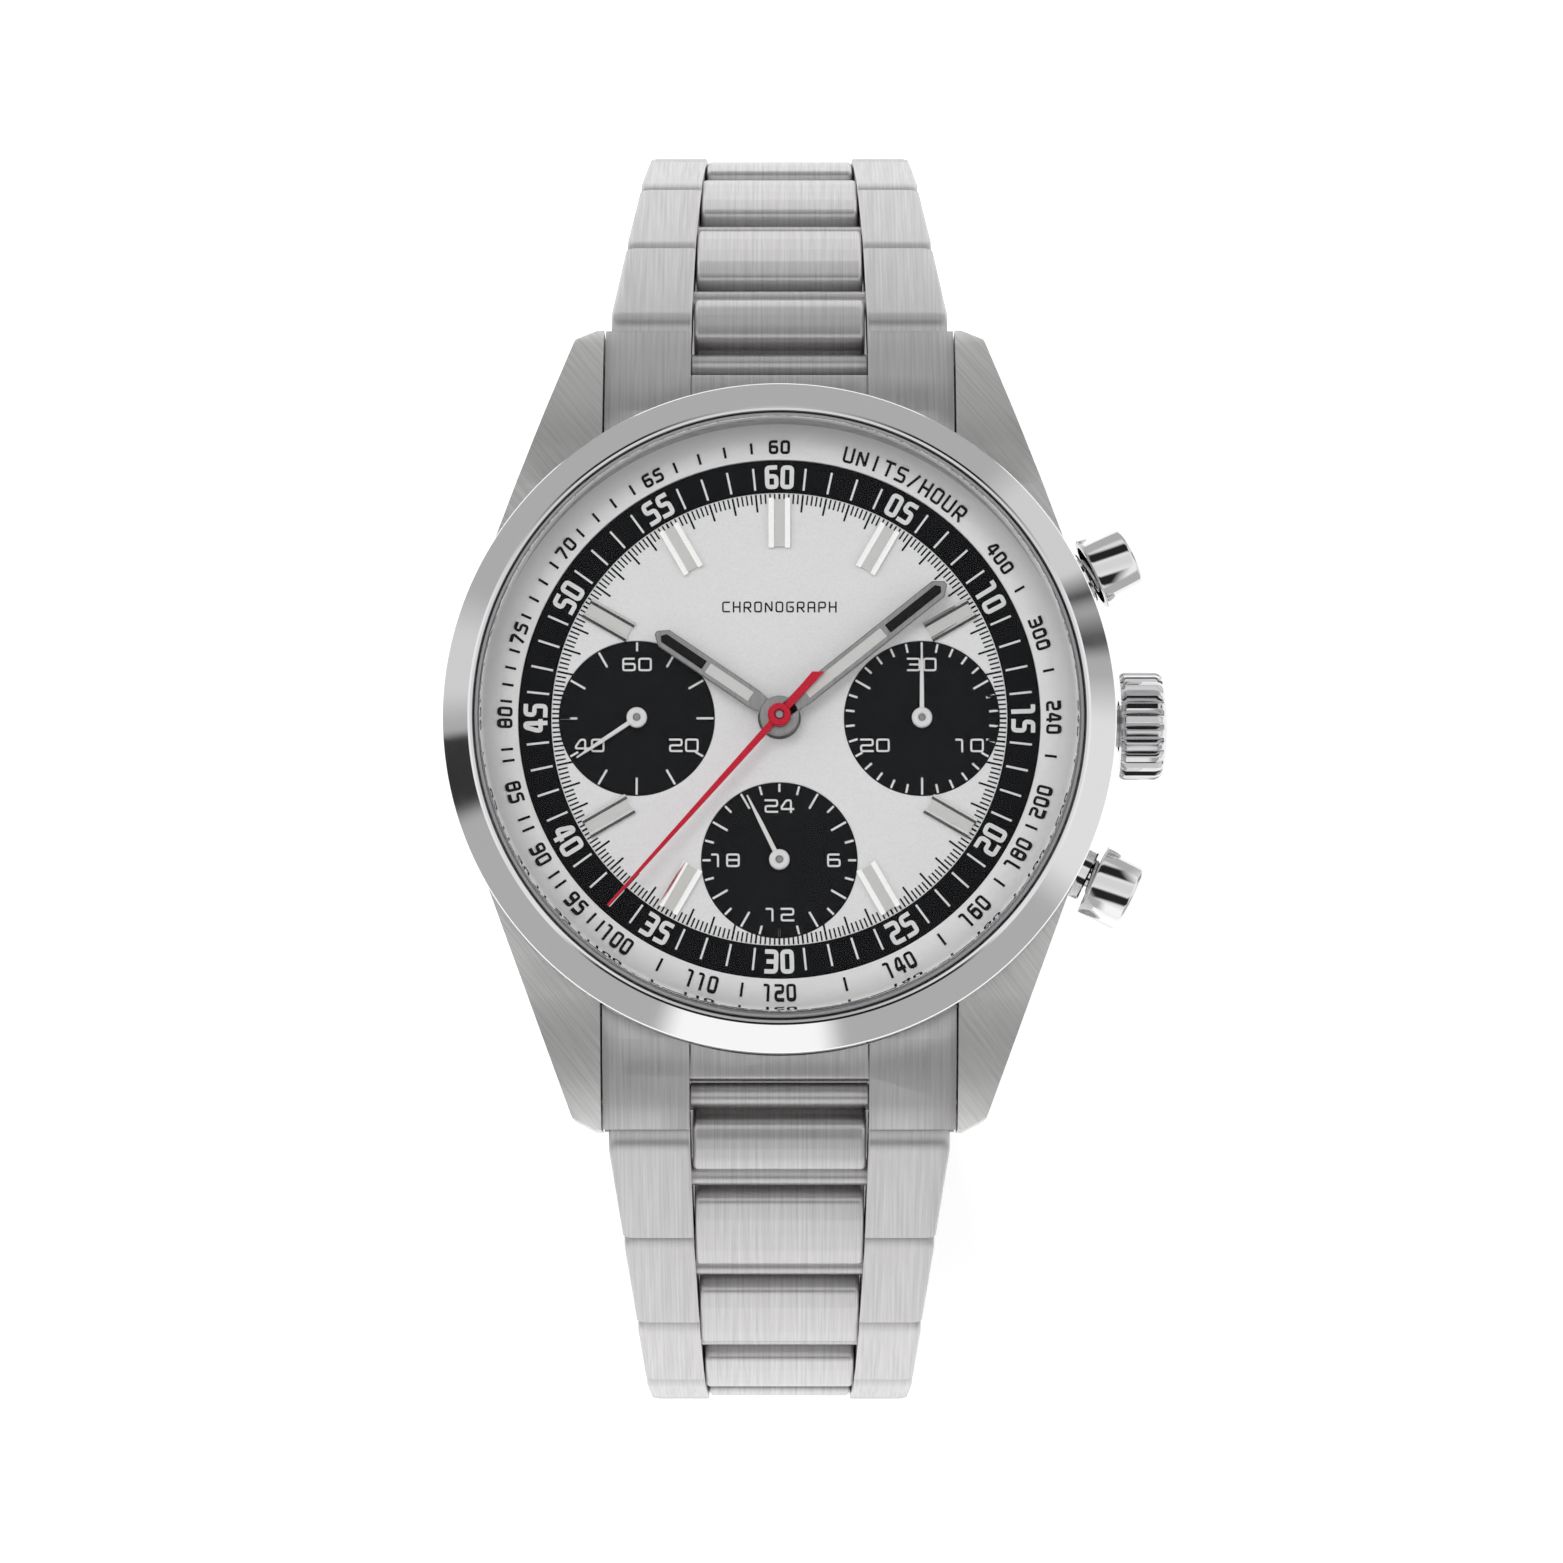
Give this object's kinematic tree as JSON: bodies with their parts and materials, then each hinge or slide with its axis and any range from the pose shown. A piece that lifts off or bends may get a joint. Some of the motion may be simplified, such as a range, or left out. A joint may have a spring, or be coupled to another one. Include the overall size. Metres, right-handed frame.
{
  "type": "chronograph wristwatch",
  "caption": "Round steel chronograph wristwatch with pushers, fluted crown, contrast dial rings, sub-dials and a tapering link bracelet with a fold-over clasp, closed as worn.",
  "frame": {"origin": "centre of the case back's flat outer face", "axes": "+Z out through the dial, +Y towards 12 o'clock, +X towards the crown at 3 o'clock"},
  "size_m": [0.0413, 0.077, 0.0588],
  "materials": {
    "brushed_steel": "brushed with polished edges",
    "polished_steel": "mirror polish",
    "sapphire_glass": "clear",
    "gasket_rubber": "matt",
    "silver_dial": "fine grained silver",
    "white_ring": "matt white",
    "hand_steel": "fine brushed",
    "red_lacquer": "satin lacquer",
    "white_lacquer": "satin lacquer",
    "nickel": "nickel plate",
    "gilt_brass": "gilt",
    "holder_plastic": "moulded"
  },
  "bodies": {
    "case": {"mid_case": "brushed_steel", "bezel": "polished_steel", "crystal": "sapphire_glass", "crystal_gasket": "gasket_rubber", "tachymeter_ring": "white_ring", "case_back": "brushed_steel", "case_back_glass": "sapphire_glass", "case_back_gasket": "gasket_rubber", "dial": "silver_dial", "crown_tube": "brushed_steel", "start_pusher_tube": "polished_steel", "start_pusher_spring": "nickel", "reset_pusher_tube": "polished_steel", "reset_pusher_spring": "nickel", "movement_holder": "holder_plastic", "main_plate": "nickel", "train_bridge": "nickel", "balance_cock": "nickel", "upper_end_link": "brushed_steel", "upper_spring_bar": "nickel", "lower_end_link": "brushed_steel", "lower_spring_bar": "nickel"},
    "hour_hand": {"hour_hand": "hand_steel"},
    "minute_hand": {"minute_hand": "hand_steel", "centre_wheel": "gilt_brass"},
    "running_seconds_hand": {"running_seconds_hand": "white_lacquer"},
    "hour24_hand": {"hour24_hand": "white_lacquer"},
    "chrono_seconds_hand": {"chrono_seconds_hand": "red_lacquer"},
    "minute_counter_hand": {"minute_counter_hand": "white_lacquer"},
    "mainspring_barrel": {"mainspring_barrel": "gilt_brass"},
    "escape_wheel": {"escape_wheel": "gilt_brass"},
    "pallet_fork": {"pallet_fork": "nickel"},
    "balance_wheel": {"balance_wheel": "gilt_brass"},
    "column_wheel": {"column_wheel": "nickel"},
    "setting_lever": {"setting_lever": "nickel"},
    "crown": {"crown": "polished_steel", "winding_stem": "nickel"},
    "start_pusher": {"start_pusher": "polished_steel"},
    "reset_pusher": {"reset_pusher": "polished_steel"},
    "clasp_inner_blade": {"clasp_inner_blade": "brushed_steel"},
    "clasp_outer_blade": {"clasp_outer_blade": "brushed_steel"},
    "clasp_cover": {"clasp_cover": "brushed_steel"},
    "clasp_button_right": {"clasp_button_right": "polished_steel"},
    "clasp_button_left": {"clasp_button_left": "polished_steel"},
    "upper_link_1": {"upper_link_1": "brushed_steel"},
    "upper_link_2": {"upper_link_2": "brushed_steel"},
    "upper_link_3": {"upper_link_3": "brushed_steel"},
    "upper_link_4": {"upper_link_4": "brushed_steel"},
    "upper_link_5": {"upper_link_5": "brushed_steel"},
    "upper_link_6": {"upper_link_6": "brushed_steel"},
    "upper_link_7": {"upper_link_7": "brushed_steel"},
    "upper_link_8": {"upper_link_8": "brushed_steel"},
    "lower_link_1": {"lower_link_1": "brushed_steel"},
    "lower_link_2": {"lower_link_2": "brushed_steel"},
    "lower_link_3": {"lower_link_3": "brushed_steel"},
    "lower_link_4": {"lower_link_4": "brushed_steel"},
    "lower_link_5": {"lower_link_5": "brushed_steel"},
    "lower_link_6": {"lower_link_6": "brushed_steel"},
    "lower_link_7": {"lower_link_7": "brushed_steel"},
    "lower_link_8": {"lower_link_8": "brushed_steel"}
  },
  "joints": [
    {"name": "minute_hand_turn", "type": "hinge", "parent": "case", "child": "minute_hand", "pos_m": [0, 0, 0.0096], "axis": [0, 0, -1], "continuous": true},
    {"name": "hour_hand_turn", "type": "hinge", "parent": "case", "child": "hour_hand", "pos_m": [0, 0, 0.0092], "axis": [0, 0, -1], "continuous": true},
    {"name": "running_seconds_turn", "type": "hinge", "parent": "case", "child": "running_seconds_hand", "pos_m": [-0.008, 0, 0.0087], "axis": [0, 0, -1], "continuous": true},
    {"name": "hour24_turn", "type": "hinge", "parent": "case", "child": "hour24_hand", "pos_m": [0, -0.008, 0.0087], "axis": [0, 0, -1], "continuous": true},
    {"name": "barrel_turn", "type": "hinge", "parent": "case", "child": "mainspring_barrel", "pos_m": [-0.0065, 0.0055, 0.0045], "axis": [0, 0, -1], "continuous": true},
    {"name": "chrono_seconds_turn", "type": "hinge", "parent": "case", "child": "chrono_seconds_hand", "pos_m": [0, 0, 0.0099], "axis": [0, 0, -1], "continuous": true},
    {"name": "minute_counter_turn", "type": "hinge", "parent": "case", "child": "minute_counter_hand", "pos_m": [0.008, 0, 0.0087], "axis": [0, 0, -1], "continuous": true},
    {"name": "escape_wheel_turn", "type": "hinge", "parent": "case", "child": "escape_wheel", "pos_m": [-0.0024, -0.0082, 0.0047], "axis": [0, 0, 1], "continuous": true},
    {"name": "column_wheel_turn", "type": "hinge", "parent": "case", "child": "column_wheel", "pos_m": [0.0075, 0.0065, 0.0045], "axis": [0, 0, 1], "continuous": true},
    {"name": "pallet_fork_rock", "type": "hinge", "parent": "case", "child": "pallet_fork", "pos_m": [0.001, -0.0076, 0.0043], "axis": [0, 0, 1], "range_deg": [-5, 5]},
    {"name": "balance_wheel_swing", "type": "hinge", "parent": "case", "child": "balance_wheel", "pos_m": [0.0055, -0.0065, 0.0038], "axis": [0, 0, 1], "range_deg": [-270, 270], "stiffness_Nm_per_rad": 0.000001},
    {"name": "crown_pull", "type": "slide", "parent": "case", "child": "setting_lever", "axis": [1, 0, 0], "range_m": [0, 0.001]},
    {"name": "crown_turn", "type": "hinge", "parent": "setting_lever", "child": "crown", "pos_m": [0, 0, 0.0052], "axis": [1, 0, 0], "continuous": true},
    {"name": "start_pusher_press", "type": "slide", "parent": "case", "child": "start_pusher", "axis": [-0.8988, -0.4384, 0], "range_m": [0, 0.0009], "stiffness_N_per_m": 1500, "springref_m": -0.0004},
    {"name": "reset_pusher_press", "type": "slide", "parent": "case", "child": "reset_pusher", "axis": [-0.8988, 0.4384, 0], "range_m": [0, 0.0009], "stiffness_N_per_m": 1500, "springref_m": -0.0004},
    {"name": "upper_hinge_1", "type": "hinge", "parent": "case", "child": "upper_link_1", "pos_m": [0, 0.0233, 0.0033], "axis": [1, 0, 0], "range_deg": [0, 43]},
    {"name": "upper_hinge_2", "type": "hinge", "parent": "upper_link_1", "child": "upper_link_2", "pos_m": [0, 0.02853, -0.00193], "axis": [1, 0, 0], "range_deg": [0, 6]},
    {"name": "upper_hinge_3", "type": "hinge", "parent": "upper_link_2", "child": "upper_link_3", "pos_m": [0, 0.03319, -0.00768], "axis": [1, 0, 0], "range_deg": [0, 15]},
    {"name": "upper_hinge_4", "type": "hinge", "parent": "upper_link_3", "child": "upper_link_4", "pos_m": [0, 0.0362, -0.01444], "axis": [1, 0, 0], "range_deg": [0, 18]},
    {"name": "upper_hinge_5", "type": "hinge", "parent": "upper_link_4", "child": "upper_link_5", "pos_m": [0, 0.03697, -0.0218], "axis": [1, 0, 0], "range_deg": [0, 18]},
    {"name": "upper_hinge_6", "type": "hinge", "parent": "upper_link_5", "child": "upper_link_6", "pos_m": [0, 0.03543, -0.02904], "axis": [1, 0, 0], "range_deg": [0, 18]},
    {"name": "upper_hinge_7", "type": "hinge", "parent": "upper_link_6", "child": "upper_link_7", "pos_m": [0, 0.03173, -0.03545], "axis": [1, 0, 0], "range_deg": [0, 18]},
    {"name": "upper_hinge_8", "type": "hinge", "parent": "upper_link_7", "child": "upper_link_8", "pos_m": [0, 0.02624, -0.0404], "axis": [1, 0, 0], "range_deg": [0, 18]},
    {"name": "lower_hinge_1", "type": "hinge", "parent": "case", "child": "lower_link_1", "pos_m": [0, -0.0233, 0.0033], "axis": [-1, 0, 0], "range_deg": [0, 43]},
    {"name": "lower_hinge_2", "type": "hinge", "parent": "lower_link_1", "child": "lower_link_2", "pos_m": [0, -0.02853, -0.00193], "axis": [-1, 0, 0], "range_deg": [0, 6]},
    {"name": "lower_hinge_3", "type": "hinge", "parent": "lower_link_2", "child": "lower_link_3", "pos_m": [0, -0.03319, -0.00768], "axis": [-1, 0, 0], "range_deg": [0, 15]},
    {"name": "lower_hinge_4", "type": "hinge", "parent": "lower_link_3", "child": "lower_link_4", "pos_m": [0, -0.0362, -0.01444], "axis": [-1, 0, 0], "range_deg": [0, 18]},
    {"name": "lower_hinge_5", "type": "hinge", "parent": "lower_link_4", "child": "lower_link_5", "pos_m": [0, -0.03697, -0.0218], "axis": [-1, 0, 0], "range_deg": [0, 18]},
    {"name": "lower_hinge_6", "type": "hinge", "parent": "lower_link_5", "child": "lower_link_6", "pos_m": [0, -0.03543, -0.02904], "axis": [-1, 0, 0], "range_deg": [0, 18]},
    {"name": "lower_hinge_7", "type": "hinge", "parent": "lower_link_6", "child": "lower_link_7", "pos_m": [0, -0.03173, -0.03545], "axis": [-1, 0, 0], "range_deg": [0, 18]},
    {"name": "lower_hinge_8", "type": "hinge", "parent": "lower_link_7", "child": "lower_link_8", "pos_m": [0, -0.02624, -0.0404], "axis": [-1, 0, 0], "range_deg": [0, 18]},
    {"name": "clasp_blade_hinge", "type": "hinge", "parent": "lower_link_8", "child": "clasp_inner_blade", "pos_m": [0, -0.01947, -0.04341], "axis": [-1, 0, 0], "range_deg": [0, 24]},
    {"name": "clasp_fold", "type": "hinge", "parent": "clasp_inner_blade", "child": "clasp_outer_blade", "pos_m": [0, 0.01727, -0.04311], "axis": [1, 0, 0], "range_deg": [0, 120]},
    {"name": "clasp_cover_pivot", "type": "hinge", "parent": "clasp_outer_blade", "child": "clasp_cover", "pos_m": [0, -0.01727, -0.04441], "axis": [1, 0, 0], "range_deg": [-120, 0]},
    {"name": "clasp_button_right_press", "type": "slide", "parent": "clasp_cover", "child": "clasp_button_right", "axis": [-1, 0, 0], "range_m": [0, 0.0007], "stiffness_N_per_m": 800, "springref_m": -0.0005},
    {"name": "clasp_button_left_press", "type": "slide", "parent": "clasp_cover", "child": "clasp_button_left", "axis": [1, 0, 0], "range_m": [0, 0.0007], "stiffness_N_per_m": 800, "springref_m": -0.0005}
  ],
  "couplings": [
    {"joint": "hour_hand_turn", "follows": "minute_hand_turn", "ratio": 0.083333},
    {"joint": "running_seconds_turn", "follows": "minute_hand_turn", "ratio": 60},
    {"joint": "hour24_turn", "follows": "minute_hand_turn", "ratio": 0.041667},
    {"joint": "barrel_turn", "follows": "minute_hand_turn", "ratio": -0.125},
    {"joint": "minute_counter_turn", "follows": "chrono_seconds_turn", "ratio": 0.033333},
    {"joint": "clasp_cover_pivot", "follows": "clasp_fold", "ratio": -1}
  ]
}
